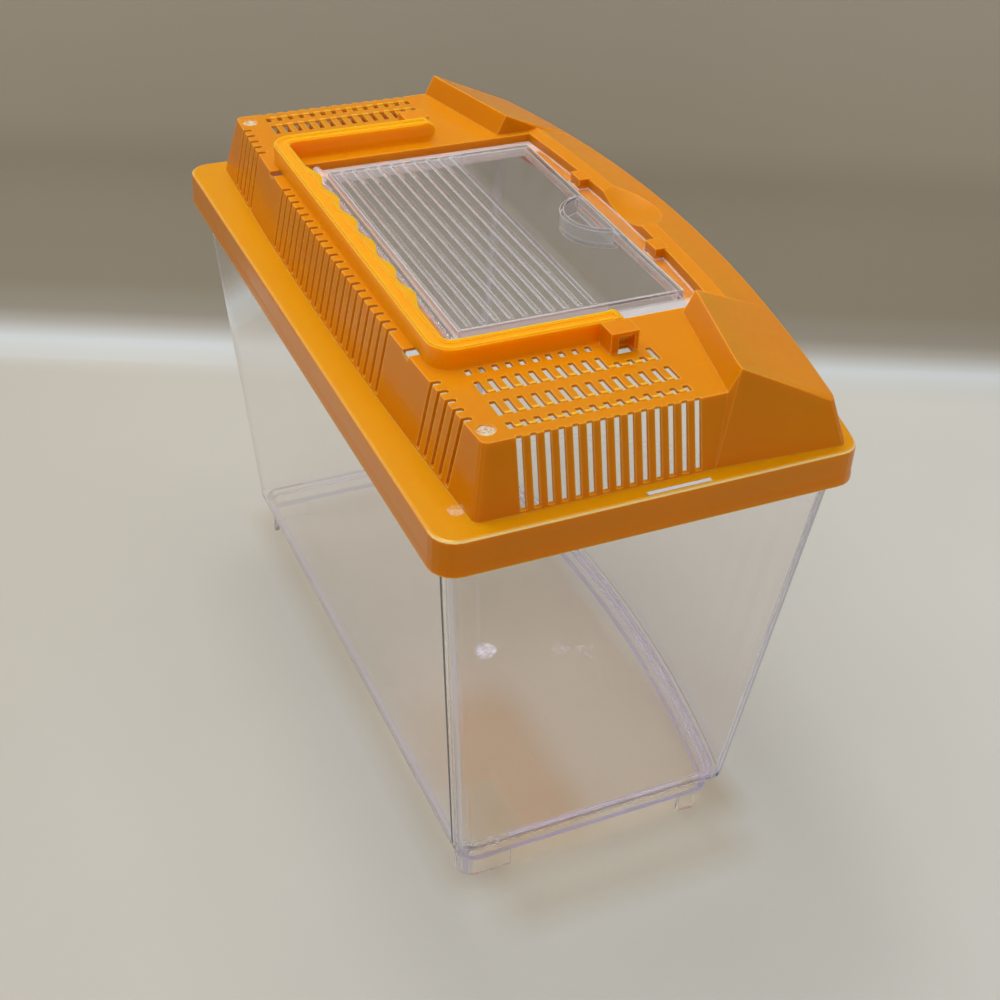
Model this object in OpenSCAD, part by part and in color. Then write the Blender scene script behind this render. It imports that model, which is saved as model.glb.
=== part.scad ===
// Small-pet keeper: a clear bow-fronted tank, a vented lid with a raised brow along the bow,
// a clear hatch door and a carry handle that folds flat behind the door.
// +X runs along the length, +Y points to the straight back, -Y to the bowed front.
// The origin is on the ground below the middle of the keeper's outline.

/* [Tank] */
// Outside length at the top of the walls
tank_l = 292; // [260:1:330]
// Outside width of the ends at the top of the walls
tank_w = 150.4; // [140:0.2:170]
// Height of the rim above the ground
tank_h = 187.2; // [150:0.1:230]
// Plan radius of the bowed front at the top of the walls
bow_r = 584; // [480:1:800]
// Slope of the walls from upright, in degrees
wall_draft = 5.3; // [4:0.1:6.5]
// Radius of the upright corners
corner_r = 6; // [4:0.5:10]
// Thickness of the tank walls
wall_t = 2; // [1.4:0.1:2.6]
// How far the lip of the rim stands out from the wall
lip_w = 1.9; // [1.2:0.1:2.4]
// Height of the lip of the rim
lip_h = 9; // [5:0.5:12]

/* [Base] */
// Height of the feet
foot_h = 9; // [4:0.5:12]
// Length of each back foot along the end
back_foot_l = 21.3; // [12:0.1:40]
// Length of each back foot along the back
back_foot_w = 8; // [7:0.5:20]
// Length of each front foot along the end
front_foot_l = 7; // [5:0.5:20]
// Distance of the front feet's middle from the middle of the end, towards the front
front_foot_y = 45.7; // [30:0.1:46]
// Height of the base pan below the walls
pan_h = 10; // [9.5:0.5:16]
// Thickness of the ledge between the pan and the walls
ledge_t = 1.2; // [1:0.1:2.4]
// How far the pan stands in from the walls
pan_inset = 3; // [2:0.25:5]
// Radius of the pan's upright corners
pan_r = 7; // [6:0.5:12]
// Thickness of the floor
floor_t = 2.5; // [1.8:0.1:3.5]
// Height of the floor's underside above the pan's lower edge
floor_rise = 6.6; // [3:0.1:7]
// Thickness of the pan's lower edge
pan_rim_t = 2.5; // [1.8:0.1:4]

/* [Rim lugs] */
// Length of the lug on each end of the rim
lug_l = 24; // [16:1:32]
// Thickness of each lug
lug_t = 1.6; // [1.2:0.1:2.4]
// Distance of the lugs' middle from the middle of the end, towards the front
lug_y = 8.5; // [0:0.5:14]

/* [Lid flange and skirt] */
// Clearance between the lid and what it sits on
seat_gap = 0.3; // [0.2:0.05:0.5]
// Thickness of the flange
flange_t = 1.7; // [1.4:0.1:2.6]
// Height of the skirt from the top of the flange
skirt_h = 14.1; // [10:0.1:16]
// Thickness of the skirt
skirt_t = 1.8; // [1.4:0.1:2.4]
// Outside corner radius of the skirt
skirt_r = 9; // [8:0.5:12]
// Height of the thicker band along the skirt's lower edge
band_h = 4.5; // [3:0.25:6]
// How far that band stands out
band_w = 0.2; // [0.1:0.05:0.5]
// Radius of the flange's outer edge
flange_edge_r = 1.4; // [0.6:0.1:1.5]

/* [Lid body] */
// Height of the deck above the flange
deck_rise = 25.5; // [20:0.5:34]
// Distance of the deck's ends from the tank's end walls
deck_end_margin = 10; // [9.5:0.1:14]
// Distance of the deck's back edge from the tank's back wall
deck_back_margin = 12.7; // [12:0.1:16]
// Slope of the lid body's ends, in degrees
end_draft = 15; // [10:0.5:16]
// Slope of the lid body's back, in degrees
back_draft = 10.9; // [8:0.1:12]
// How far the back of the lid body bows out over its length
back_bow = 3.6; // [2:0.1:5]
// Radius of the lid body's corners
body_r = 2.5; // [2:0.25:6]
// Wall thickness of the lid body
lid_t = 1.2; // [1:0.1:2.4]

/* [Brow] */
// Height of the brow's ridge above the deck
ridge_rise = 8.3; // [6:0.1:12]
// Distance of the ridge's ends from the tank's back wall
ridge_end_back = 109.4; // [106:0.2:112]
// Plan angle of the ridge to the length, in degrees
ridge_angle = 13.1; // [11:0.1:13.5]
// Plan width of the slope from the deck up to the ridge
ridge_wall_w = 4.2; // [3:0.1:6]
// Distance of the brow's foot from the edge of the flange
brow_ledge = 6; // [5:0.25:7]
// How far the brow's front edge leans back at the middle
brow_lean = 8.7; // [6:0.1:11]
// Plan radius of the brow's front edge
brow_edge_r = 757; // [700:1:900]
// Height of the brow's front edge below the deck at the middle
brow_edge_drop = 3.5; // [2:0.1:6]
// Further drop of that edge towards the ends
brow_edge_sink = 5.4; // [3:0.1:7]
// How far the brow's end blocks stand proud of the lid body's ends, at the ridge
block_proud = 2.2; // [0.5:0.1:3]
// Further width of the end blocks at the flange
block_flare = 0.9; // [0:0.1:1.2]
// Distance of the end blocks' lower back corner from the foot of the ridge's slope
block_foot_back = 5.5; // [2:0.5:10]
// Radius of the finger scoop in the middle of the brow
scoop_r = 38; // [34:1:60]
// Depth of the scoop's lowest point below the deck
scoop_depth = 3.8; // [3:0.1:4.4]
// Distance of the scoop's middle from the recess's front edge, towards the front
scoop_y_out = 2; // [0:0.5:4]

/* [Hatch] */
// Length of the recess that holds the door
recess_l = 160; // [150:1:164]
// Depth of the recess
recess_depth = 5.5; // [5:0.1:7]
// Distance of the recess's back edge from the deck's back edge
recess_back = 16.2; // [15.8:0.1:18]
// Distance of the recess's front edge from its back edge, at the middle
recess_w = 107.3; // [104:0.1:110]
// How far the recess's front edge bows out
recess_bow = 4.4; // [3:0.1:6]
// Width of the ledge that the door rests on
ledge_w = 6; // [4:0.25:8]
// Length of each catch over the door's front edge
catch_l = 8.3; // [6:0.1:18]
// Distance of each catch from the middle
catch_x = 33; // [26:0.5:45]
// How far each catch stands out over the recess
catch_w = 4.3; // [1.6:0.1:4.8]
// Height of each catch's top above the deck
catch_rise = 0.5; // [0:0.1:1]
// Height of each catch's underside above the ledge
catch_room = 2.6; // [2.3:0.1:3]

/* [Door] */
// Gap all round the door
door_gap = 0.5; // [0.3:0.05:0.8]
// Thickness of the door's plates
door_t = 1.8; // [1.4:0.1:2.2]
// Length of the raised panel
panel_l = 138; // [130:1:142]
// Width of the raised panel
panel_w = 90; // [84:0.5:92]
// Height of the panel's top above the deck
panel_rise = 0.3; // [0:0.1:1]
// Distance of the hinge line from the recess's back edge
hinge_back = 5.3; // [5.2:0.1:6]
// Radius of the door's hinge barrel
barrel_r = 1.9; // [1.7:0.1:2.2]
// Radius of the door's two hinge pins
hinge_pin_r = 1.3; // [1:0.1:1.5]
// Number of ribs on the back half of the panel
rib_count = 10; // [6:1:11]
// Spacing of the ribs
rib_pitch = 5.4; // [5:0.1:6]
// Width of each rib at its foot
rib_w = 2; // [1.2:0.1:2.6]
// Height of each rib
rib_h = 0.8; // [0.5:0.1:0.9]
// Radius of the finger pocket
pocket_r = 17.5; // [14:0.5:19]
// Depth of the finger pocket
pocket_depth = 7.5; // [6:0.25:8]

/* [Handle] */
// Outside width over the handle's legs
handle_l = 184.6; // [180:0.2:190]
// Width of the legs and of the grip, seen from above
bar_w = 6.2; // [5:0.1:6.2]
// Height of the legs and of the grip
bar_h = 8.3; // [7.5:0.1:8.5]
// Distance of the grip's outer face from the deck's back edge
grip_back = 5; // [4.5:0.1:5.5]
// Distance from the pivot to the grip's outer face
handle_reach = 68.3; // [60:0.1:72]
// Outside radius of the handle's corners
handle_r = 9; // [7:0.5:12]
// Width of the hollow along the handle's top
groove_w = 4; // [2:0.1:4.2]
// Depth of that hollow
groove_depth = 0.8; // [0.4:0.1:1.2]
// Depth of the finger waves on the inside of the grip
wave_w = 2.9; // [2:0.1:2.9]
// Spacing of the finger waves
wave_pitch = 20.4; // [18:0.1:23]
// Number of finger waves
wave_count = 6; // [4:1:7]
// Thickness of the flange that carries the waves
wave_t = 3; // [2:0.1:4]
// Radius of the handle's pivot pins
pivot_r = 1.75; // [1.4:0.05:1.8]
// Radial clearance of the pins in their bores
pin_fit = 0.05; // [0.03:0.01:0.08]

/* [Handle brackets] */
// Thickness of each bracket along the pin
bracket_t = 8.5; // [6:0.1:9]
// Width of each bracket
bracket_w = 10.8; // [9:0.1:12]
// Height of each bracket above the deck
bracket_h = 8.2; // [7.5:0.1:8.4]
// Gap between a bracket and the handle's leg
bracket_gap = 0.5; // [0.3:0.05:0.8]
// Distance of each bracket's middle behind the pivot
bracket_back = 1.8; // [0:0.1:2.2]
// Thickness of the bracket's wall that the pin turns in
bracket_wall = 4.2; // [3:0.1:4.5]
// Thickness of the bracket's top
bracket_top = 1.6; // [1.2:0.1:2]

/* [Vents] */
// Width of every vent slot
slot_w = 2.3; // [1.2:0.1:2.6]
// Number of slots across each end
end_slots = 14; // [8:1:14]
// Spacing of those slots
end_pitch = 4.97; // [4.6:0.01:5]
// Distance of the first slot from the deck's back edge
end_slot_back = 16.2; // [14:0.1:18]
// Height of the upright slots' lower ends above the flange
slot_foot = 0.9; // [0.8:0.1:4]
// Distance of each deck row's outer end from the deck's end
row_from = [5.2, 13.4, 27, 39.5];
// Length of the slots in each deck row
row_len = [3.9, 8.8, 8.3, 3.7];
// Number of slots along the middle of the back
back_slots = 21; // [11:2:23]
// Number of slots beside each back corner
corner_slots = 5; // [3:1:5]
// Spacing of the slots along the back
back_pitch = 5.95; // [5.6:0.05:6.2]
// Distance of the last corner slot from the deck's end
corner_slot_x = 15; // [12:0.5:18]
// How far the back slots run over the deck
back_slot_over = 3.6; // [2:0.1:5]
// How far the end slots run over the deck
end_slot_over = 0.8; // [0.5:0.1:2]
// Distance of each back notch from the middle
notch_x = 75.8; // [74:0.2:77]
// Width of each back notch
notch_w = 5.2; // [4:0.1:6]
// Height of the low dashes at the outer ends of the deck slots
dash_h = 0.5; // [0.3:0.05:0.8]
// Width of those dashes
dash_w = 1; // [0.6:0.1:1.4]
// Diameter of the round sink mark near each back corner of the deck
mark_d = 6.5; // [4:0.5:7]
// Distance of that mark's middle from the deck's end
mark_x_in = 7.2; // [5:0.1:9]
// Distance of that mark's middle from the deck's back edge at the middle of the length
mark_y_in = 7.7; // [7.5:0.1:10]
// Depth of that mark
mark_depth = 0.4; // [0.2:0.1:0.6]

/* [Hidden] */
$fn = 64;
TINY = 0.01;
OVER = 1;                                 // how far a cut runs past the face it opens
CORNER_STEPS = 5;
BOW_STEPS = 18;

// Plan of the tank and of the lid's skirt
lip_gap = seat_gap;
skirt_out = lip_w + lip_gap + skirt_t;    // skirt's outer face from the wall top's outer face
total_bow = sagitta(bow_r + skirt_out, tank_l / 2 + skirt_out);
plan_shift = total_bow / 2;               // brings the middle of the whole outline over the origin

// Heights
ledge_z = foot_h + pan_h;                 // lower edge of the tank walls
floor_z = foot_h + floor_rise + floor_t;  // floor the animal stands on
flange_z = tank_h + seat_gap + flange_t;  // top of the lid's flange
deck_z = flange_z + deck_rise;
recess_z = deck_z - recess_depth;         // ledge the door rests on
tray_t = lid_t;

// Lid body
deck_hx = tank_l / 2 - deck_end_margin;
deck_back_y = tank_w / 2 - deck_back_margin;
back_r = (deck_hx * deck_hx + back_bow * back_bow) / (2 * back_bow);
foot_edge_r = bow_r + skirt_out - brow_ledge;
foot_edge_y = -(tank_w / 2 + skirt_out + total_bow) + brow_ledge;
ridge_end_y = tank_w / 2 - ridge_end_back;
ridge_z = deck_z + ridge_rise;
recess_back_y = deck_back_y - recess_back;
recess_front_y = recess_back_y - recess_w;
recess_margin = 3;
recess_wall_x = recess_l / 2 + recess_margin; // brow's blocks end here, beside the recess
recess_r = bulge_radius(recess_l / 2, recess_bow);
recess_ridge_w = 5.2;                     // plan width of the brow's low rear slope beside the door
recess_ridge_rise = 1;
recess_step = 0.8;                        // plan width of the blocks' faces beside the recess
block_foot_y = ridge_end_y + ridge_wall_w + block_foot_back;
scoop_y = recess_front_y - scoop_y_out;

// Door
hinge_y = recess_back_y - hinge_back;
door_z = recess_z + seat_gap;             // underside of the door's flange
hinge_z = door_z + barrel_r;
panel_z = deck_z + panel_rise;
panel_hinge_gap = 1.5;
panel_back_y = hinge_y - panel_hinge_gap;
panel_front_y = panel_back_y - panel_w;
rib_end_in = 2;                           // from each end of the panel to the ribs' ends
pocket_floor_t = 1.5;
pocket_out = 2;                           // pocket's centre beyond the panel's front edge
hinge_pin_l = door_gap + tray_t;

// Handle
pivot_y = deck_back_y - grip_back - handle_reach;
bar_z = deck_z + seat_gap;                // underside of the folded handle
pivot_z = bar_z + bar_h / 2;
bracket_x = handle_l / 2 + bracket_gap;   // inner face of each bracket
bar_edge = 0.6;                           // chamfer along the bars' upper edges
groove_step = 0.6;                        // how far the hollow's floor is narrowed at each side
inner_r_extra = 1.2;                      // the bars widen a little inside the handle's corners
wave_mid = 0.6;                           // middle and swing of the waves, as shares of their depth
wave_swing = 0.4;
pin_l = bracket_gap + bracket_wall;

// Hollow on the outside of each bracket, and the low rail across it
bracket_front_t = 1.6;
bracket_back_t = 3;
rail_h = 0.9;
hollow_x = bracket_x + bracket_wall;
hollow_t = bracket_t - bracket_wall;
hollow_w = bracket_w - bracket_front_t - bracket_back_t;
hollow_y = pivot_y + bracket_back - bracket_w / 2 + bracket_front_t;

// Vents
slot_in = lid_t + 1.2;                    // how deep the upright slots are cut, from the outside
bracket_slot_gap = 4.2;                   // from a bracket to the shortened slots beside it
innermost = len(row_from) - 1;
bracket_slot_x = bracket_x + bracket_t + bracket_slot_gap;
bracket_front_y = hollow_y - bracket_front_t;
bracket_back_y = bracket_front_y + bracket_w;
notch_l = 5.5;
notch_back = 6.5;                         // from the deck's back edge to the notch's front edge

// ---------- outlines and lofts ----------

function sagitta(r, half) = r - sqrt(r * r - half * half);

function bulge_radius(half, bow) = (half * half + bow * bow) / (2 * bow);

function arc(cx, cy, r, a0, a1, steps) =
    [for (i = [0:steps]) let (a = a0 + (a1 - a0) * i / steps) [cx + r * cos(a), cy + r * sin(a)]];

// Closed outline with straight ends and back and a bowed front, counter-clockwise from above.
// hx, hy: half length and half end width; bow: plan radius of the front; r: corner radius
function bowed_outline(hx, hy, bow, r) =
    let (
        cy = bow - hy - sagitta(bow, hx),
        ky = cy - sqrt(pow(bow - r, 2) - pow(hx - r, 2)),
        a = atan2(ky - cy, hx - r),
        front = arc(0, cy, bow, -180 - a, a, BOW_STEPS)
    )
    concat(
        arc(r - hx, ky, r, 180, 180 - a, CORNER_STEPS),
        [for (i = [1:BOW_STEPS - 1]) front[i]],
        arc(hx - r, ky, r, a, 0, CORNER_STEPS),
        arc(hx - r, hy - r, r, 0, 90, CORNER_STEPS),
        arc(r - hx, hy - r, r, 90, 180, CORNER_STEPS)
    );

function at_z(outline, z) = [for (p = outline) [p.x, p.y, z]];

// Solid through a list of rings with equal numbers of points, each ring counter-clockwise
// when seen from the ring after it. With fan, its two ends fold along lines from the first point.
module skin(rings, fan = false) {
    n = len(rings[0]);
    last = len(rings) - 1;
    sides = [
        for (j = [0:last - 1], i = [0:n - 1])
            let (a = j * n + i, b = j * n + (i + 1) % n)
            each [[a, a + n, b + n], [a, b + n, b]]
    ];
    flat_ends = [[for (i = [0:n - 1]) i], [for (i = [n - 1:-1:0]) last * n + i]];
    fan_ends = [
        for (i = [1:n - 2])
            each [[0, i, i + 1], [last * n, last * n + i + 1, last * n + i]]
    ];
    polyhedron(
        points = [for (ring = rings) each ring],
        faces = concat(fan ? fan_ends : flat_ends, sides),
        convexity = 10
    );
}

module mirrored_x() {
    children();
    mirror([1, 0, 0]) children();
}

// Everything is laid out about the middle of the ends, then moved over the origin.
module in_place() {
    translate([0, plan_shift, 0]) children();
}

// ---------- tank ----------

// Ring of the tank at height z, pushed out by off, with corner radius r
function tank_ring(z, off, r) =
    let (out = off - (tank_h - z) * tan(wall_draft))
    at_z(bowed_outline(tank_l / 2 + out, tank_w / 2 + out, bow_r + out, r), z);

module tank_shell() {
    inner_r = corner_r - wall_t;
    pan_in = -pan_inset - wall_t;
    skin([
        tank_ring(foot_h + floor_rise, -pan_inset - pan_rim_t, pan_r - pan_rim_t),
        tank_ring(foot_h, -pan_inset - pan_rim_t, pan_r - pan_rim_t),
        tank_ring(foot_h, -pan_inset, pan_r),
        tank_ring(ledge_z, -pan_inset, pan_r),
        tank_ring(ledge_z, 0, corner_r),
        tank_ring(tank_h - lip_h, 0, corner_r),
        tank_ring(tank_h - lip_h + lip_w, lip_w, corner_r + lip_w),
        tank_ring(tank_h, lip_w, corner_r + lip_w),
        tank_ring(tank_h, -wall_t, inner_r),
        tank_ring(ledge_z + ledge_t, -wall_t, inner_r),
        tank_ring(ledge_z + ledge_t, pan_in, pan_r - wall_t),
        tank_ring(floor_z, pan_in, pan_r - wall_t)
    ]);
}

// Four feet: parts of the pan's lower edge at its corners, carried down to the ground
module feet() {
    out = -pan_inset - (tank_h - foot_h) * tan(wall_draft);
    hx = tank_l / 2 + out;
    hy = tank_w / 2 + out;
    bow = bow_r + out;
    linear_extrude(foot_h + TINY)
        intersection() {
            difference() {
                polygon(bowed_outline(hx, hy, bow, pan_r));
                polygon(bowed_outline(hx - pan_rim_t, hy - pan_rim_t, bow - pan_rim_t, pan_r - pan_rim_t));
            }
            mirrored_x() {
                translate([hx - back_foot_w, hy - back_foot_l])
                    square(2 * back_foot_l);
                translate([hx - pan_r, -front_foot_y - front_foot_l / 2])
                    square([2 * pan_r, front_foot_l]);
            }
        }
}

module rim_lug() {
    outer = tank_l / 2 + lip_w;
    translate([outer - lug_t, -lug_y - lug_l / 2, tank_h - TINY])
        cube([lug_t, lug_l, flange_z - tank_h + TINY]);
}

module tank() {
    color([0.9, 0.93, 0.95, 0.35]) in_place() union() {
        tank_shell();
        feet();
        mirrored_x() rim_lug();
    }
}

// ---------- lid ----------

// Ring of the skirt and flange at height z, pushed out by off from the skirt's upper face
function skirt_ring(z, off) =
    let (out = skirt_out - band_w + off)
    at_z(bowed_outline(tank_l / 2 + out, tank_w / 2 + out, bow_r + out, skirt_r + off), z);

module skirt_and_flange() {
    inner = band_w - skirt_t;
    skin(concat(
        [
            skirt_ring(flange_z - flange_t, inner),
            skirt_ring(flange_z - skirt_h, inner),
            skirt_ring(flange_z - skirt_h, band_w),
            skirt_ring(flange_z - skirt_h + band_h / 2, band_w),
            skirt_ring(flange_z - skirt_h + band_h, 0)
        ],
        [
            for (a = [0:30:90])
                skirt_ring(flange_z - flange_edge_r * (1 - sin(a)), flange_edge_r * (cos(a) - 1))
        ]
    ));
}

// Half length of the lid body at height z
function body_hx(z) = deck_hx + (deck_z - z) * tan(end_draft);

// How far the body's back and front edges draw in at station x, round its upright corners
function corner_draw(x) =
    let (past = abs(x) - (deck_hx - body_r))
    past <= 0 ? 0 : body_r - sqrt(max(0, body_r * body_r - past * past));

function back_edge_y(x, z) =
    deck_back_y + (deck_z - z) * tan(back_draft) - x * x / (2 * back_r) - corner_draw(x);

function brow_foot_y(x) = foot_edge_y + sagitta(foot_edge_r, abs(x)) + corner_draw(x);

function brow_edge_y(x) =
    foot_edge_y + brow_lean + sagitta(brow_edge_r, abs(x)) + corner_draw(x);

function brow_edge_z(x) = deck_z - brow_edge_drop - brow_edge_sink * pow(x / deck_hx, 2);

function recess_edge_y(x) = recess_front_y + sagitta(recess_r, abs(x));

function ridge_y(x) = ridge_end_y - (deck_hx - abs(x)) * tan(ridge_angle);

// Section of the lid body at station x, thinned by t all round, down to height z_low
function body_section(x, t, z_low) =
    let (
        beside_door = abs(x) < recess_wall_x + t,
        wall_y = beside_door ? recess_edge_y(x) : ridge_y(x) + ridge_wall_w,
        top_y = beside_door ? recess_edge_y(x) - recess_ridge_w : ridge_y(x),
        top_z = beside_door ? deck_z + recess_ridge_rise : ridge_z
    )
    [
        [block_foot_y, z_low],
        [back_edge_y(x, flange_z) - t, z_low],
        [back_edge_y(x, deck_z) - t, deck_z - t],
        [wall_y - t, deck_z - t],
        [top_y - t, top_z - t],
        [brow_edge_y(x) + t, brow_edge_z(x) - t],
        [brow_foot_y(x) + t, z_low]
    ];

function body_stations(wall_x) =
    let (
        side = concat(
            [for (a = [90:-30:0]) deck_hx - body_r + body_r * sin(a)],
            [for (i = [1:3]) deck_hx - body_r - (deck_hx - body_r - wall_x) * i / 3],
            [for (i = [0:4]) (wall_x - recess_step) * (1 - i / 5)]
        )
    )
    concat(-side, [0], [for (i = [len(side) - 1:-1:0]) side[i]]);

// How far the end blocks stand out from the sloping ends at height z
function block_out(z) = block_proud + block_flare * (ridge_z - max(z, flange_z)) / (ridge_z - flange_z);

// Station x carried out to the sloping ends: whole past the corners, and nothing beside the door.
// The section's last three points belong to the brow.
function to_end(x, z, t, in_brow) =
    let (
        from = recess_wall_x + lid_t,
        share = min(1, max(0, (abs(x) - from) / (deck_hx - body_r - from))),
        past = share < 1 ? 0 : (abs(x) - deck_hx + body_r) / body_r
    )
    x + sign(x) * (share * (body_hx(max(z, flange_z)) - deck_hx - t) + (in_brow ? past * block_out(z) : 0));

module lid_body(t, z_low) {
    skin([
        for (x = body_stations(recess_wall_x + t))
            let (section = body_section(x, t, z_low))
            [for (i = [0:6]) [to_end(x, section[i].y, t, i > 3), section[i].x, section[i].y]]
    ], fan = true);
}

// Plan of the door's recess, drawn in by inset
function recess_plan(inset) =
    let (hx = recess_l / 2 - inset, steps = 8)
    concat(
        [for (i = [0:steps]) let (x = hx * (2 * i / steps - 1)) [x, recess_edge_y(x) + inset]],
        [[hx, recess_back_y - inset], [-hx, recess_back_y - inset]]
    );

module recess_prism(inset, z0, z1) {
    translate([0, 0, z0]) linear_extrude(z1 - z0) polygon(recess_plan(inset));
}

module scoop(t) {
    translate([0, scoop_y, deck_z - scoop_depth + scoop_r]) sphere(scoop_r + t);
}

module catch_tab(clear) {
    wall_y = recess_edge_y(catch_x);
    catch_t = deck_z + catch_rise - recess_z - catch_room;
    translate([catch_x - catch_l / 2 - clear, wall_y - lid_t, recess_z + catch_room - clear])
        cube([catch_l + 2 * clear, lid_t + catch_w + clear, catch_t + clear]);
}

// Bracket beside the handle's leg, open on the outside under its top
module bracket() {
    difference() {
        translate([bracket_x, hollow_y - bracket_front_t, deck_z - TINY])
            cube([bracket_t, bracket_w, bracket_h + TINY]);
        translate([hollow_x, hollow_y, deck_z - OVER])
            cube([hollow_t + OVER, hollow_w, bracket_h - bracket_top + OVER]);
    }
    translate([hollow_x - TINY, hollow_y - TINY, deck_z + bracket_h / 2])
        cube([hollow_t / 2, hollow_w + 2 * TINY, rail_h]);
}

// Pin's bore in the bracket, and the opening through the deck below the bracket's hollow
module bracket_bore() {
    translate([bracket_x - OVER, pivot_y, pivot_z]) rotate([0, 90, 0])
        cylinder(r = pivot_r + pin_fit, h = bracket_wall + 2 * OVER);
    translate([hollow_x, hollow_y, deck_z - lid_t - OVER])
        cube([hollow_t, hollow_w, lid_t + 2 * OVER]);
}

module hinge_bore() {
    translate([recess_l / 2 - OVER, hinge_y, hinge_z]) rotate([0, 90, 0])
        cylinder(r = hinge_pin_r + pin_fit, h = tray_t + 2 * OVER);
}

// Upright slot through the end wall, running a little over the deck's edge
module end_slot() {
    z0 = flange_z + slot_foot;
    over_x = deck_hx - end_slot_over;
    rotate([90, 0, 0]) translate([0, 0, -slot_w / 2]) linear_extrude(slot_w)
        polygon([
            [body_hx(z0) - slot_in, z0],
            [body_hx(z0) + 2 * OVER, z0],
            [body_hx(z0) + 2 * OVER, deck_z + OVER],
            [over_x, deck_z + OVER],
            [over_x, deck_z - lid_t],
            [body_hx(deck_z - lid_t) - slot_in, deck_z - lid_t]
        ]);
}

function row_x1(row) = deck_hx - row_from[row];

// Slots in the two innermost rows give way to the bracket.
function row_x0(row, y) =
    let (x0 = row_x1(row) - row_len[row])
    beside_bracket(y) ? max(x0, bracket_slot_x) : x0;

function beside_bracket(y) = y > bracket_front_y - slot_w / 2 && y < bracket_back_y + slot_w / 2;

function has_slot(row, y) = row < innermost || y > bracket_back_y + slot_w / 2;

function end_slot_y(i) = deck_back_y - end_slot_back - i * end_pitch;

module end_vents() {
    for (i = [0:end_slots - 1]) {
        y = end_slot_y(i);
        translate([0, y, 0]) {
            end_slot();
            for (row = [0:innermost])
                if (has_slot(row, y))
                    translate([row_x0(row, y), -slot_w / 2, deck_z - lid_t - OVER])
                        cube([row_x1(row) - row_x0(row, y), slot_w, lid_t + 2 * OVER]);
        }
    }
}

// Low dashes on the bars between the slots, in line with each row's outer end
module dashes() {
    dash_l = end_pitch - slot_w;
    for (i = [0:end_slots - 2], row = [0:innermost - 1])
        translate([row_x1(row) - dash_w, end_slot_y(i) - slot_w / 2 - dash_l, deck_z - TINY])
            cube([dash_w, dash_l, dash_h + TINY]);
}

// Upright slot through the back wall, carried over the deck to a round end
module back_slot(x) {
    z0 = flange_z + slot_foot;
    edge = deck_back_y - x * x / (2 * back_r);
    foot = edge + (deck_z - z0) * tan(back_draft);
    over_y = edge - back_slot_over + slot_w / 2;
    translate([x - slot_w / 2, 0, 0]) rotate([90, 0, 90]) linear_extrude(slot_w)
        polygon([
            [foot - slot_in, z0],
            [foot + OVER, z0],
            [foot + OVER, deck_z + OVER],
            [over_y, deck_z + OVER],
            [over_y, deck_z - lid_t - OVER]
        ]);
    translate([x, over_y, deck_z - lid_t - OVER])
        cylinder(d = slot_w, h = lid_t + 2 * OVER, $fn = 16);
}

module back_vents() {
    half = (back_slots - 1) / 2;
    for (i = [-half:half]) back_slot(i * back_pitch);
    for (i = [0:corner_slots - 1], side = [-1, 1])
        back_slot(side * (deck_hx - corner_slot_x - i * back_pitch));
}

module back_notch() {
    translate([notch_x - notch_w / 2, deck_back_y - notch_back, deck_z - lid_t - OVER])
        cube([notch_w, notch_l, lid_t + 2 * OVER]);
}

module sink_mark() {
    translate([deck_hx - mark_x_in, deck_back_y - mark_y_in, deck_z - mark_depth])
        cylinder(d = mark_d, h = mark_depth + OVER, $fn = 32);
}

module lug_slot() {
    outer = tank_l / 2 + lip_w;
    translate([outer - lug_t - lip_gap, -lug_y - lug_l / 2 - lip_gap, flange_z - flange_t - OVER])
        cube([lug_t + 2 * lip_gap, lug_l + 2 * lip_gap, flange_t + 2 * OVER]);
}

module lid() {
    color([0.93, 0.52, 0.05, 0.9]) in_place() difference() {
        union() {
            difference() {
                union() {
                    skirt_and_flange();
                    lid_body(0, flange_z - flange_t / 2);
                }
                difference() {
                    lid_body(lid_t, flange_z - flange_t - OVER);
                    recess_prism(-tray_t, recess_z - tray_t, deck_z);
                    scoop(lid_t);
                }
                scoop(0);
                recess_prism(0, recess_z, ridge_z);
            }
            mirrored_x() catch_tab(0);
            mirrored_x() bracket();
            mirrored_x() dashes();
        }
        recess_prism(ledge_w, recess_z - tray_t - OVER, ridge_z);
        mirrored_x() bracket_bore();
        mirrored_x() hinge_bore();
        mirrored_x() end_vents();
        back_vents();
        mirrored_x() back_notch();
        mirrored_x() sink_mark();
        mirrored_x() lug_slot();
    }
}

// ---------- hatch door ----------

module panel_block(inset, z0, z1) {
    translate([inset - panel_l / 2, panel_front_y + inset, z0])
        cube([panel_l - 2 * inset, panel_w - 2 * inset, z1 - z0]);
}

// D-shaped plan of the finger pocket, flat along the panel's front edge
module pocket_plan(inset) {
    intersection() {
        translate([0, panel_front_y - pocket_out]) circle(pocket_r - inset);
        translate([-pocket_r, panel_front_y + inset]) square([2 * pocket_r, pocket_r]);
    }
}

module door_rib(y) {
    steps = 6;
    translate([rib_end_in - panel_l / 2, y, panel_z - TINY]) rotate([90, 0, 90])
        linear_extrude(panel_l - 2 * rib_end_in)
            polygon([for (i = [0:steps]) [rib_w / 2 * cos(180 * i / steps), rib_h * sin(180 * i / steps)]]);
}

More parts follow.
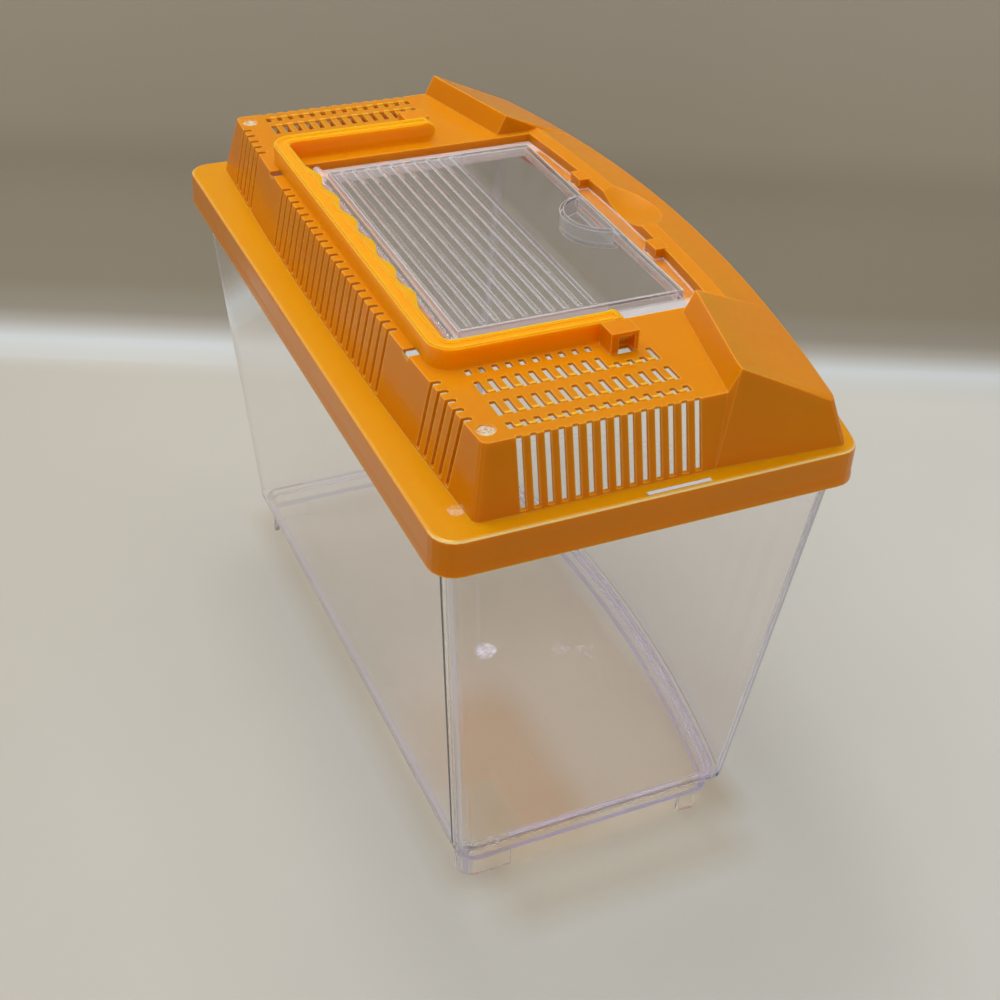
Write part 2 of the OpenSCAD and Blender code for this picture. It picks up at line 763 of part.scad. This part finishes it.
module hatch_door() {
    pocket_z = panel_z - pocket_depth;
    color([0.92, 0.93, 0.97, 0.4]) in_place() difference() {
        union() {
            difference() {
                union() {
                    intersection() {
                        recess_prism(door_gap, door_z, door_z + door_t);
                        translate([-recess_l, hinge_y - 2 * recess_w, door_z - OVER])
                            cube([2 * recess_l, 2 * recess_w, door_t + 2 * OVER]);
                    }
                    panel_block(0, door_z, panel_z);
                }
                panel_block(door_t, door_z - OVER, panel_z - door_t);
            }
            translate([0, 0, pocket_z - pocket_floor_t])
                linear_extrude(panel_z - pocket_z + pocket_floor_t) pocket_plan(0);
            for (i = [0:rib_count - 1]) door_rib(panel_back_y - (i + 1) * rib_pitch);
            translate([door_gap - recess_l / 2, hinge_y, hinge_z]) rotate([0, 90, 0])
                cylinder(r = barrel_r, h = recess_l - 2 * door_gap);
            translate([door_gap - recess_l / 2 - hinge_pin_l, hinge_y, hinge_z]) rotate([0, 90, 0])
                cylinder(r = hinge_pin_r, h = recess_l - 2 * door_gap + 2 * hinge_pin_l);
        }
        translate([0, 0, pocket_z]) linear_extrude(pocket_depth + OVER) pocket_plan(pocket_floor_t);
        mirrored_x() catch_tab(seat_gap);
        mirrored_x() translate([0, 0, -catch_room]) catch_tab(seat_gap);
    }
}

// ---------- handle ----------

// Plan of the folded handle: a U with rounded outer corners, open to the front
module handle_plan(inset) {
    hx = handle_l / 2 - inset;
    grip_y = pivot_y + handle_reach - inset;
    inner_x = handle_l / 2 - bar_w + inset;
    inner_y = pivot_y + handle_reach - bar_w + inset;
    inner_r = handle_r - bar_w + inner_r_extra;
    polygon(concat(
        [[hx, pivot_y]],
        arc(handle_l / 2 - handle_r, pivot_y + handle_reach - handle_r, handle_r - inset, 0, 90, 8),
        arc(handle_r - handle_l / 2, pivot_y + handle_reach - handle_r, handle_r - inset, 90, 180, 8),
        [[-hx, pivot_y], [-inner_x, pivot_y]],
        arc(inner_r - inner_x, inner_y - inner_r, inner_r, 180, 90, 6),
        arc(inner_x - inner_r, inner_y - inner_r, inner_r, 90, 0, 6),
        [[inner_x, pivot_y]]
    ));
}

// Wavy flange on the inside of the grip
module finger_waves() {
    inner_y = pivot_y + handle_reach - bar_w;
    half = wave_count * wave_pitch / 2;
    steps = 12 * wave_count;
    wave = [
        for (i = [0:steps])
            let (x = half * (1 - 2 * i / steps))
            [x, inner_y - wave_w * (wave_mid - wave_swing * cos(360 * x / wave_pitch))]
    ];
    translate([0, 0, bar_z + bar_h - wave_t - bar_edge]) linear_extrude(wave_t)
        polygon(concat([[-half, inner_y + 1], [half, inner_y + 1]], wave));
}

module leg_end() {
    translate([handle_l / 2 - bar_w, pivot_y, pivot_z]) rotate([0, 90, 0])
        cylinder(r = bar_h / 2, h = bar_w);
    translate([handle_l / 2 - TINY, pivot_y, pivot_z]) rotate([0, 90, 0])
        cylinder(r = pivot_r, h = pin_l + TINY);
}

module handle() {
    color([0.95, 0.45, 0.02]) in_place() difference() {
        union() {
            translate([0, 0, bar_z]) linear_extrude(bar_h - bar_edge) handle_plan(0);
            translate([0, 0, bar_z + bar_h - bar_edge - TINY]) linear_extrude(bar_edge + TINY)
                handle_plan(bar_edge);
            finger_waves();
            mirrored_x() leg_end();
        }
        translate([0, 0, bar_z + bar_h - groove_depth]) linear_extrude(groove_depth + OVER)
            handle_plan((bar_w - groove_w) / 2 + groove_step);
        translate([0, 0, bar_z + bar_h - groove_depth / 2]) linear_extrude(groove_depth + OVER)
            handle_plan((bar_w - groove_w) / 2);
    }
}

tank();
lid();
hatch_door();
handle();
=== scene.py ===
import math

import bpy
from mathutils import Matrix, Vector


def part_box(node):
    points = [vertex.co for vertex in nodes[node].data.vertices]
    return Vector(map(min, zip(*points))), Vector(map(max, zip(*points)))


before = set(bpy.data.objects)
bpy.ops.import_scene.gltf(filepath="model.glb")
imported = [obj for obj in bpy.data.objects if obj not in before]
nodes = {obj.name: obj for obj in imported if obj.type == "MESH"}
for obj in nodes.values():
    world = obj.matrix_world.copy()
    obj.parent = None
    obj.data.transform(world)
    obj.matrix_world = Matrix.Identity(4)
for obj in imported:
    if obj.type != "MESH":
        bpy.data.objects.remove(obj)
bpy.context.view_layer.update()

# A clear pet keeper with an orange lid. Its four mouldings keep their CAD meshes. This script gives
# them their materials, and makes the camera, the floor, the backdrop and the light.
# Lengths are in metres. X runs along the length, -Y points to the bowed front, and the ground is at z = 0.


# ---------- places on the object ----------

tank_low, tank_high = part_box("tank")
FLANGE_Z = tank_high.z              # top of the lid's flange, level with the tops of the rim lugs
FLANGE_END_X = (0.138, 0.144)       # the flange's sides turn into its ends between these
RIM_Z = FLANGE_Z - 0.002            # top of the rim, from which the lugs stand up
DECK_Z = FLANGE_Z + 0.0255          # the lid's deck
DASH_Z = DECK_Z + 0.0005            # tops of the low dashes between the deck's slots
DASH_Y = (-0.012, 0.06)             # the dashes lie between these
SINK_Z = DECK_Z - 0.0004            # middle height of the sink marks
PAN_Z = tank_low.z + 0.009          # lower edge of the base pan
TANK_FLOOR_Z = tank_low.z + 0.0181  # top of the tank's floor
LEDGE_Z = tank_low.z + 0.0202       # top of the ledge between the pan and the walls
WALL_FOOT = (LEDGE_Z + 0.0003, LEDGE_Z + 0.0028)        # the base's looks give way to the walls' here
ABOVE_LEDGE = (LEDGE_Z + 0.0058, LEDGE_Z + 0.0098)      # and the bow's fainter lines end here
BOW_ENDS_X = (0.108, 0.116)         # the ledge along the bow fades into the ends' between these
BOW_Y = (-0.04, -0.02)              # and into the middle of the tank between these
PANEL_END_X = (0.0685, 0.0697)      # the door's raised panel ends between these
RIBS_Y = (-0.0105, -0.0095)         # the panel is plain in front of these and ribbed behind them

# marks and painted glints, each inside a ball round its place
# the gate mark's whitish flecks also serve as a painted glint
GATE = (-0.0216, 0.0107, 0.0175)    # where the plastic entered the mould of the tank
GATE_R = 0.0056
# painted glints on the tank's floor, drawn as faint whitish spots
FLOOR_GLINTS = ((-0.033, -0.0214), (-0.0377, -0.0317), (-0.128, 0.052))
FLOOR_GLINT_Z = TANK_FLOOR_Z - 0.0003
FLOOR_GLINT_R = 0.006

SINK_X, SINK_Y = 0.1289, 0.0643     # the whitish round marks at the deck's back corners
SINK_R = 0.0034
SCUFF_PLACE = (-0.1335, 0.0760, FLANGE_Z)       # the scuff beside the lid body's near corner
SCUFF_R = 0.0032


# ---------- node material helpers ----------

def rgba(colour):
    return (*colour, 1.0)


class Mat:
    """A node material built round one Principled shader."""

    def __init__(self, name, **sockets):
        self.mat = bpy.data.materials.new(name)
        self.mat.use_nodes = True
        self.tree = self.mat.node_tree
        self.bsdf = next(n for n in self.tree.nodes if n.type == "BSDF_PRINCIPLED")
        self.out = next(n for n in self.tree.nodes if n.type == "OUTPUT_MATERIAL")
        self.coords = self.new("ShaderNodeTexCoord")
        for key, value in sockets.items():
            self.bsdf.inputs[key.replace("_", " ")].default_value = value

    def new(self, kind, **attrs):
        node = self.tree.nodes.new(kind)
        for key, value in attrs.items():
            setattr(node, key, value)
        return node

    def feed(self, value, socket):
        """Links an output to a socket, or sets the socket to a plain number, place or colour."""
        if isinstance(value, bpy.types.NodeSocket):
            self.tree.links.new(value, socket)
        elif socket.type == "RGBA":
            socket.default_value = rgba(value)
        else:
            socket.default_value = value

    def drive(self, name, value):
        """Feeds one input of the Principled shader."""
        self.feed(value, self.bsdf.inputs[name])

    # numbers

    def math(self, operation, *values):
        node = self.new("ShaderNodeMath", operation=operation)
        for value, socket in zip(values, node.inputs):
            self.feed(value, socket)
        return node.outputs[0]

    def times(self, a, b):
        return self.math("MULTIPLY", a, b)

    def absolute(self, value):
        return self.math("ABSOLUTE", value)

    def highest(self, first, *others):
        for other in others:
            first = self.math("MAXIMUM", first, other)
        return first

    def remap(self, value, given, result):
        """Takes the first range to the second, and stays inside the second."""
        node = self.new("ShaderNodeMapRange")
        for name, number in zip(("From Min", "From Max", "To Min", "To Max"), (*given, *result)):
            node.inputs[name].default_value = number
        self.feed(value, node.inputs["Value"])
        return node.outputs["Result"]

    def rise(self, value, low, high):
        """0 below low, 1 above high."""
        return self.remap(value, (low, high), (0.0, 1.0))

    def fall(self, value, low, high):
        """1 below low, 0 above high."""
        return self.remap(value, (low, high), (1.0, 0.0))

    def band(self, value, low, high, soft):
        """1 between two values, with soft ends."""
        up = self.rise(value, low - soft, low + soft)
        return self.times(up, self.fall(value, high - soft, high + soft))

    # places

    def xyz(self, output="Object"):
        split = self.new("ShaderNodeSeparateXYZ")
        self.feed(self.coords.outputs[output], split.inputs["Vector"])
        return split.outputs["X"], split.outputs["Y"], split.outputs["Z"]

    def near(self, centre, radius, soft):
        """1 inside a ball round a point, falling to 0 at its radius."""
        away = self.new("ShaderNodeVectorMath", operation="DISTANCE")
        self.feed(self.coords.outputs["Object"], away.inputs[0])
        self.feed(centre, away.inputs[1])
        return self.fall(away.outputs["Value"], radius - soft, radius)

    def edges(self, sharp=0.8, flat=0.97, radius=0.0008):
        """0 on a face, rising to 1 close to its edges: sharp and flat are cosines of the bevel's turn."""
        bevel = self.new("ShaderNodeBevel", samples=3)
        self.feed(radius, bevel.inputs["Radius"])
        face = self.new("ShaderNodeNewGeometry")
        turn = self.new("ShaderNodeVectorMath", operation="DOT_PRODUCT")
        self.feed(bevel.outputs["Normal"], turn.inputs[0])
        self.feed(face.outputs["True Normal"], turn.inputs[1])
        return self.fall(turn.outputs["Value"], sharp, flat)

    def noise(self, scale, detail=3.0, rough=0.5):
        node = self.new("ShaderNodeTexNoise")
        for name, value in (("Scale", scale), ("Detail", detail), ("Roughness", rough)):
            node.inputs[name].default_value = value
        self.feed(self.coords.outputs["Object"], node.inputs["Vector"])
        return node.outputs["Fac"]

    # colours and surfaces

    def mix(self, share, a, b, blend="MIX"):
        node = self.new("ShaderNodeMix", data_type="RGBA", blend_type=blend)
        share_in, a_in, b_in, result = node.inputs[0], node.inputs[6], node.inputs[7], node.outputs[2]
        for value, socket in ((share, share_in), (a, a_in), (b, b_in)):
            self.feed(value, socket)
        return result

    def ramp(self, share, stops):
        node = self.new("ShaderNodeValToRGB")
        elements = node.color_ramp.elements
        while len(elements) < len(stops):
            elements.new(0.5)
        for element, (position, colour) in zip(elements, stops):
            element.position = position
            element.color = rgba(colour)
        self.feed(share, node.inputs["Fac"])
        return node.outputs["Color"]

    def bump(self, height, strength, distance, under=None):
        node = self.new("ShaderNodeBump")
        self.feed(strength, node.inputs["Strength"])
        self.feed(distance, node.inputs["Distance"])
        self.feed(height, node.inputs["Height"])
        if under is not None:
            self.feed(under, node.inputs["Normal"])
        return node.outputs["Normal"]

    def pass_lamps(self, share):
        """Lets this share of the lamp light through, as thin walls do."""
        path = self.new("ShaderNodeLightPath")
        self.drive("Alpha", self.remap(path.outputs["Is Shadow Ray"], (0.0, 1.0), (1.0, 1.0 - share)))


def dress(thing, material):
    thing.data.materials.clear()
    thing.data.materials.append(material)


# ---------- clear plastic ----------

# colours of the whitened places: the painted highlights are whitish, and lilac below the walls
EDGE_TINT = (0.95, 0.93, 1.0)
VIOLET = (0.54, 0.48, 0.76)
CLEAR_ROUGH = (0.01, 0.032)
CLEAR_SHARE = 0.985                 # share of the light that a clean face lets through

# shares of whitening, from 0 for clear to 1: painted highlights on the edges, corners, the pan's edge, the
# floor's glints and the door's sides and ends, frost with a painted glint on the rim lugs, and the door's
# real grain
LUG_FROST_AND_GLINT, CORNER_HIGHLIGHT, BACK_CORNER_HIGHLIGHT, PAN_EDGE_HIGHLIGHT = 0.85, 0.9, 0.5, 0.75
GATE_FLECKS_AND_GLINT, FLOOR_GLINT_SHARE = (0.2, 0.95), (0.0, 0.5)
LEDGE_SHARE, BOW_LEDGE_SHARE = 0.45, 0.35
FLANK_HIGHLIGHT, PLAIN_SHARE, GRAIN_HAZE, DOOR_END_HIGHLIGHT = 0.5, 0.5, 0.08, 0.35


def clear_plastic(name, tint, lamp_share, whitening_stop, whitening):
    """Clear polystyrene. The last argument says where the plastic is whitened and in which colour, mostly
    as painted highlights, and the one before it is how much light the whitened places stop.
    """
    m = Mat(name, IOR=1.49, Specular_IOR_Level=0.5)
    m.drive("Roughness", m.remap(m.noise(160.0, 4.0, 0.6), (0.0, 1.0), CLEAR_ROUGH))
    whitened, whitening_colour = whitening(m, m.edges(0.72, 0.98))
    pale = tuple(min(1.0, c * 1.015) for c in tint)
    face = m.mix(m.rise(m.noise(9.0, 2.0), 0.3, 0.7), tint, pale)
    m.drive("Base Color", m.mix(whitened, face, whitening_colour))
    m.drive("Transmission Weight", m.remap(whitened, (0.0, 1.0), (CLEAR_SHARE, CLEAR_SHARE - whitening_stop)))
    m.drive("Normal", m.bump(m.noise(14.0, 2.0, 0.4), strength=0.02, distance=0.002))
    m.pass_lamps(lamp_share)
    return m.mat


def floor_mark_and_glints(m):
    """The gate mark in the tank's floor, flecked whitish as a painted glint too, and three faint painted
    glints.
    """
    flecks = m.remap(m.noise(420.0, 2.0, 0.6), (0.38, 0.62), GATE_FLECKS_AND_GLINT)
    marks = m.times(m.near(GATE, GATE_R, soft=0.0014), flecks)
    for x, y in FLOOR_GLINTS:
        spot = m.near((x, y, FLOOR_GLINT_Z), FLOOR_GLINT_R, soft=0.005)
        marks = m.highest(marks, m.times(spot, m.remap(m.noise(520.0), (0.5, 0.65), FLOOR_GLINT_SHARE)))
    return marks


def upright_corners(m):
    """The rounded corners between two walls, where the normal points along X and Y at once, carry a
    painted highlight. In front it spans their whole width, and behind only their middle."""
    x, y, _ = m.xyz("Normal")
    both = m.absolute(m.times(x, y))
    in_front = m.fall(m.xyz()[1], -0.01, 0.01)
    wide = m.times(m.rise(both, 0.26, 0.42), in_front)
    return m.highest(wide, m.remap(both, (0.37, 0.49), (0.0, BACK_CORNER_HIGHLIGHT)))


def tank_edges(m, edge):
    """Painted highlights on the edges, weaker below the walls and weakest on the ledge along the bow."""
    x, y, z = m.xyz()
    edge = m.times(edge, m.remap(z, WALL_FOOT, (LEDGE_SHARE, 1.0)))
    bow = m.times(m.fall(m.absolute(x), *BOW_ENDS_X), m.fall(y, *BOW_Y))
    bow = m.times(bow, m.fall(z, *ABOVE_LEDGE))
    return m.times(edge, m.remap(bow, (0.0, 1.0), (1.0, BOW_LEDGE_SHARE)))


def tank_highlights_and_marks(m, edge):
    """Whiter places: painted highlights on the edges, corners and the pan's lower edge, frost with a
    painted glint on the rim lugs, and the gate mark and glints in the floor.
    """
    z = m.xyz()[2]
    marks = floor_mark_and_glints(m)
    lugs = m.times(m.rise(z, RIM_Z, RIM_Z + 0.0004), LUG_FROST_AND_GLINT)
    corners = m.times(upright_corners(m), CORNER_HIGHLIGHT)
    pan_edge = m.times(m.band(z, PAN_Z - 0.0004, PAN_Z + 0.0012, soft=0.0003), PAN_EDGE_HIGHLIGHT)
    whitened = m.highest(tank_edges(m, edge), marks, lugs, corners, pan_edge)
    return whitened, m.mix(m.fall(z, *WALL_FOOT), EDGE_TINT, m.mix(marks, VIOLET, EDGE_TINT))


def door_highlights_and_grain(m, edge):
    """The ribs and the sides get painted highlights, the panel's ends too, and the ribbed part is finely
    grained.
    """
    ribbed = m.rise(m.xyz()[1], *RIBS_Y)
    tilted = m.remap(m.absolute(m.xyz("Normal")[2]), (0.5, 0.96), (FLANK_HIGHLIGHT, 0.0))
    flanks = m.times(tilted, m.remap(ribbed, (0.0, 1.0), (PLAIN_SHARE, 1.0)))
    grain = m.times(ribbed, m.remap(m.noise(1300.0, 2.0, 0.6), (0.45, 0.62), (0.0, GRAIN_HAZE)))
    ends = m.remap(m.absolute(m.xyz()[0]), PANEL_END_X, (0.0, DOOR_END_HIGHLIGHT))
    return m.highest(edge, flanks, grain, ends), EDGE_TINT


# ---------- orange plastic ----------

# the next four colours are painted light: highlights on the edges, a golden reflection on the flange's
# top, highlights on the dashes, and a highlight line along the flange's rounded edge
EDGE_HIGHLIGHT_PEACH = (1.0, 0.58, 0.15)
GOLD_REFLECTION = (0.68, 0.275, 0.0)
YELLOW_HIGHLIGHT = (0.86, 0.40, 0.03)
HIGHLIGHT_LINE = (1.0, 0.72, 0.38)
SCUFF = (0.86, 0.8, 0.76)
ORANGE_ROUGH = (0.24, 0.39)
SINK_SHARE, SCUFF_SHARE = 0.65, 0.35    # how white the marks are
# the pale line along the flange's edge is a painted highlight
HIGHLIGHT_LINE_SHARE = (0.25, 0.8)                # strength of the flange's pale line along its sides and its ends


def rub(m, colour, centre, radius, amount):
    """Whitish speckles inside a ball round a place."""
    speckles = m.remap(m.noise(700.0, 3.0, 0.7), (0.4, 0.56), (0.1, amount))
    return m.mix(m.times(m.near(centre, radius, radius * 0.25), speckles), colour, SCUFF)


def lid_marks(m, colour):
    """Sink marks at the deck's back corners, and a scuff on the flange."""
    for x in (-SINK_X, SINK_X):
        colour = rub(m, colour, (x, SINK_Y, SINK_Z), SINK_R, SINK_SHARE)
    return rub(m, colour, SCUFF_PLACE, SCUFF_R, SCUFF_SHARE)


def flange_highlight_line(m):
    """Where the painted highlight line lies: the flange's rounded edge, where it faces halfway up, most of
    all at the two ends.
    """
    x, _, z = m.xyz()
    halfway_up = m.band(m.xyz("Normal")[2], 0.3, 0.95, soft=0.03)
    line = m.times(halfway_up, m.band(z, FLANGE_Z - 0.0014, FLANGE_Z - 0.0001, soft=0.0002))
    return m.times(line, m.remap(m.absolute(x), FLANGE_END_X, HIGHLIGHT_LINE_SHARE))


def lid_painted_light(m, colour):
    """Painted light: a golden reflection on the flange, a highlight line along its edge, and yellower
    highlights on the dashes between the slots.
    """
    _, y, z = m.xyz()
    # painted reflection: a golden band on the flange's top
    colour = m.mix(m.band(z, FLANGE_Z - 0.0007, FLANGE_Z + 0.0005, soft=0.0002), colour, GOLD_REFLECTION)
    # painted highlight: the pale line along the flange's rounded edge
    colour = m.mix(flange_highlight_line(m), colour, HIGHLIGHT_LINE)
    # painted highlight: the dashes' tops turn yellow
    dash_tops = m.band(z, DASH_Z - 0.00025, DASH_Z + 0.00025, soft=0.0002)
    return m.mix(m.times(dash_tops, m.band(y, *DASH_Y, soft=0.001)), colour, YELLOW_HIGHLIGHT)


def unmarked(m, colour):
    return colour


def orange_plastic(name, deep, light, through, depth, lamp_share, edge_highlight, painted_light=unmarked, marks=unmarked):
    """Thin satin orange plastic. through and depth say how far light spreads inside it."""
    m = Mat(name, Specular_IOR_Level=0.25, IOR=1.49, Coat_Weight=0.22, Coat_Roughness=0.1)
    m.drive("Specular Tint", (1.0, 0.5, 0.06))
    colour = painted_light(m, m.mix(m.rise(m.noise(11.0, 3.0, 0.55), 0.3, 0.7), deep, light))
    # painted highlights: the edges turn lighter, towards peach
    colour = m.mix(m.remap(m.edges(), (0.0, 1.0), (0.0, edge_highlight)), colour, EDGE_HIGHLIGHT_PEACH)
    m.drive("Base Color", marks(m, colour))
    m.drive("Roughness", m.remap(m.noise(240.0, 3.0, 0.6), (0.0, 1.0), ORANGE_ROUGH))
    grain = m.bump(m.noise(1500.0, 2.0, 0.5), strength=0.12, distance=0.0002)
    m.drive("Normal", m.bump(m.noise(16.0, 2.0, 0.4), strength=0.1, distance=0.002, under=grain))
    m.drive("Subsurface Weight", through)
    m.drive("Subsurface Radius", (1.0, 0.45, 0.03))
    m.drive("Subsurface Scale", depth)
    m.pass_lamps(lamp_share)
    return m.mat


dress(nodes["tank"], clear_plastic(
    "clear_tank", tint=(0.98, 0.967, 0.965), lamp_share=0.93, whitening_stop=0.75, whitening=tank_highlights_and_marks))
dress(nodes["hatch_door"], clear_plastic(
    "clear_door", tint=(0.84, 0.835, 0.835), lamp_share=0.9, whitening_stop=0.8, whitening=door_highlights_and_grain))
dress(nodes["lid"], orange_plastic(
    "orange_lid", deep=(0.68, 0.215, 0.0), light=(0.72, 0.235, 0.0), through=0.75, depth=0.007,
    lamp_share=0.6, edge_highlight=0.5, painted_light=lid_painted_light, marks=lid_marks))
dress(nodes["handle"], orange_plastic(
    "orange_handle", deep=(0.92, 0.34, 0.0), light=(0.96, 0.37, 0.0), through=0.9, depth=0.012,
    lamp_share=0.75, edge_highlight=0.25))


# ---------- camera ----------

EYE = Vector((-0.5116, 0.24153, 0.4929))
AZIMUTH, ELEVATION, ROLL = (math.radians(a) for a in (-25.59, 35.9, -2.93))
FOCAL_PX, FRAME_PX = 1594.3, 1000.0     # focal length and width of the photograph, in its pixels
SENSOR_MM = 36.0

ahead = Vector((math.cos(AZIMUTH), math.sin(AZIMUTH), 0.0))     # the way the camera looks, on the level
under_camera = Vector((EYE.x, EYE.y, 0.0))


def photo_camera():
    """The photograph's camera: level axes first, then turned about its line of sight."""
    view = ahead * math.cos(ELEVATION) - Vector((0, 0, math.sin(ELEVATION)))
    level_right = view.cross(Vector((0, 0, 1))).normalized()
    level_down = view.cross(level_right)
    right = level_right * math.cos(ROLL) + level_down * math.sin(ROLL)
    down = level_down * math.cos(ROLL) - level_right * math.sin(ROLL)
    camera = bpy.data.objects.new("camera", bpy.data.cameras.new("camera"))
    camera.data.sensor_width = SENSOR_MM
    camera.data.lens = SENSOR_MM * FOCAL_PX / FRAME_PX
    camera.data.clip_start = 0.01
    place = Matrix((right, -down, -view)).transposed().to_4x4()
    place.translation = EYE
    camera.matrix_world = place
    bpy.context.scene.collection.objects.link(camera)
    bpy.context.scene.camera = camera


photo_camera()


# ---------- floor and backdrop ----------

FOOT = 0.7915                       # distance ahead of the camera at which the backdrop bends up
BEND_R = 0.10
FLAT = 0.45                         # length of the backdrop's flat part, in front of the bend
WALL_TURN = 0.02                    # the backdrop stands a little nearer on the left
WALL_TOP = 1.3
UNDER_WALL = -0.0004                # the floor lies just below the backdrop's flat part
VIEW_HALF = 0.35                    # the floor's colour changes this far to each side of the view's middle

FLOOR = (0.505, 0.475, 0.415)
FLOOR_RIGHT = (0.62, 0.615, 0.575)
# ranges in x and y, each with its softness, and the tint of the painted shadow there: under the object it
# is warmed by the light that comes through it, and along its back and near bottom edges it is a painted
# contact shadow
UNDER = [
    ((-0.134, 0.134, 0.008), (-0.060, 0.056, 0.006), (0.80, 0.715, 0.61)),
    ((-0.118, -0.032, 0.012), (0.004, 0.050, 0.008), (0.90, 0.77, 0.60)),
    ((-0.134, 0.134, 0.008), (0.052, 0.072, 0.006), (0.88, 0.83, 0.76)),
    ((-0.158, -0.134, 0.008), (-0.050, 0.056, 0.010), (0.87, 0.82, 0.74)),
]
# the backdrop's colour at shares of its painted height: a painted band of light where it bends up above
# the floor, then darker
PAINTED_H = 0.2
WALL = [
    (0.0, (0.575, 0.57, 0.53)), (0.022, (0.60, 0.635, 0.64)), (0.045, (0.39, 0.365, 0.325)),
    (0.065, (0.275, 0.25, 0.20)), (0.122, (0.25, 0.215, 0.158)), (0.215, (0.285, 0.245, 0.178)),
    (0.57, (0.45, 0.395, 0.305)), (1.0, (0.50, 0.44, 0.355)),
]


def sweep(name, profile, half_width):
    """Runs a profile of (distance ahead, height) points sideways across the view."""
    side = Vector((-ahead.y, ahead.x, 0.0)) - ahead * WALL_TURN
    corners, faces = [], []
    for distance, height in profile:
        middle = under_camera + ahead * distance + Vector((0, 0, height))
        corners += [middle - side * half_width, middle + side * half_width]
    for i in range(0, len(corners) - 2, 2):
        faces.append((i, i + 2, i + 3, i + 1))
    mesh = bpy.data.meshes.new(name)
    mesh.from_pydata(corners, [], faces)
    mesh.update()
    for polygon in mesh.polygons:
        polygon.use_smooth = True
    thing = bpy.data.objects.new(name, mesh)
    bpy.context.scene.collection.objects.link(thing)
    return thing


def backdrop_profile():
    """Flat, then a quarter round with a point every 6 degrees, then nearly upright."""
    points = [(FOOT - FLAT, 0.0), (FOOT, 0.0)]
    for a in (math.radians(d) for d in range(6, 85, 6)):
        points.append((FOOT + BEND_R * math.sin(a), BEND_R * (1 - math.cos(a))))
    return points + [(FOOT + BEND_R + 0.01, 0.25), (FOOT + BEND_R + 0.03, WALL_TOP)]


def ground_colour(m):
    """The floor is lighter and cooler to the right, and has painted shadows under the object, warmer where
    light falls through it.
    """
    x, y, _ = m.xyz()
    rightwards = m.math("MULTIPLY_ADD", y, -ahead.x, m.times(x, ahead.y))
    ground = m.mix(m.rise(rightwards, -VIEW_HALF, VIEW_HALF), FLOOR, FLOOR_RIGHT)
    for x_range, y_range, shadow_tint in UNDER:
        spot = m.times(m.band(x, *x_range), m.band(y, *y_range))
        ground = m.mix(1.0, ground, m.mix(spot, (1.0, 1.0, 1.0), shadow_tint), "MULTIPLY")
    return ground


def paper(name):
    return Mat(name, Roughness=0.75, Specular_IOR_Level=0.2)


def paint(m, colour):
    """Gives the paper its colour, with a faint mottle."""
    mottle = m.remap(m.noise(3.0, 3.0, 0.5), (0.3, 0.7), (0.0, 0.06))
    m.drive("Base Color", m.mix(mottle, colour, (0.0, 0.0, 0.0)))


def backdrop_paper():
    """The floor's colour on the flat part and WALL above it. The back is clear, so it hides nothing."""
    m = paper("backdrop_paper")
    z = m.xyz()[2]
    # the ramp paints a band of light on the backdrop's bend
    wall_colour = m.ramp(m.rise(z, 0.0, PAINTED_H), WALL)
    paint(m, m.mix(m.rise(z, 0.0, 0.001), ground_colour(m), wall_colour))
    side = m.new("ShaderNodeNewGeometry")
    clear = m.new("ShaderNodeBsdfTransparent")
    pick = m.new("ShaderNodeMixShader")
    m.feed(side.outputs["Backfacing"], pick.inputs["Fac"])
    m.feed(m.bsdf.outputs[0], pick.inputs[1])
    m.feed(clear.outputs[0], pick.inputs[2])
    m.feed(pick.outputs[0], m.out.inputs["Surface"])
    return m.mat


def floor_paper():
    m = paper("floor_paper")
    paint(m, ground_colour(m))
    return m.mat


wall = sweep("backdrop", backdrop_profile(), half_width=2.5)
floor = sweep("floor", [(-3.0, UNDER_WALL), (6.0, UNDER_WALL)], half_width=4.0)
dress(wall, backdrop_paper())
dress(floor, floor_paper())
wall.visible_shadow = False


# ---------- light ----------

AIM = Vector((0, 0, 0.1))


def area(name, place, side, power):
    """A square lamp that points at the object."""
    lamp = bpy.data.lights.new(name, "AREA")
    lamp.shape = "RECTANGLE"
    lamp.size = lamp.size_y = side
    lamp.energy = power
    thing = bpy.data.objects.new(name, lamp)
    thing.location = place
    thing.rotation_euler = (AIM - Vector(place)).to_track_quat("-Z", "Y").to_euler()
    bpy.context.scene.collection.objects.link(thing)


area("softbox", (0.40, 0.12, 1.5), side=1.5, power=16.2)
area("key", (0.47, 0.02, 1.4), side=0.3, power=3.8)

world = bpy.data.worlds.new("studio")
world.use_nodes = True
background = world.node_tree.nodes["Background"]
background.inputs["Color"].default_value = rgba((1.0, 1.0, 1.0))
background.inputs["Strength"].default_value = 0.5

scene = bpy.context.scene
scene.world = world
scene.cycles.max_bounces = 14
scene.cycles.glossy_bounces = 6
scene.cycles.transmission_bounces = 14
scene.cycles.transparent_max_bounces = 16
scene.view_settings.view_transform = "Standard"
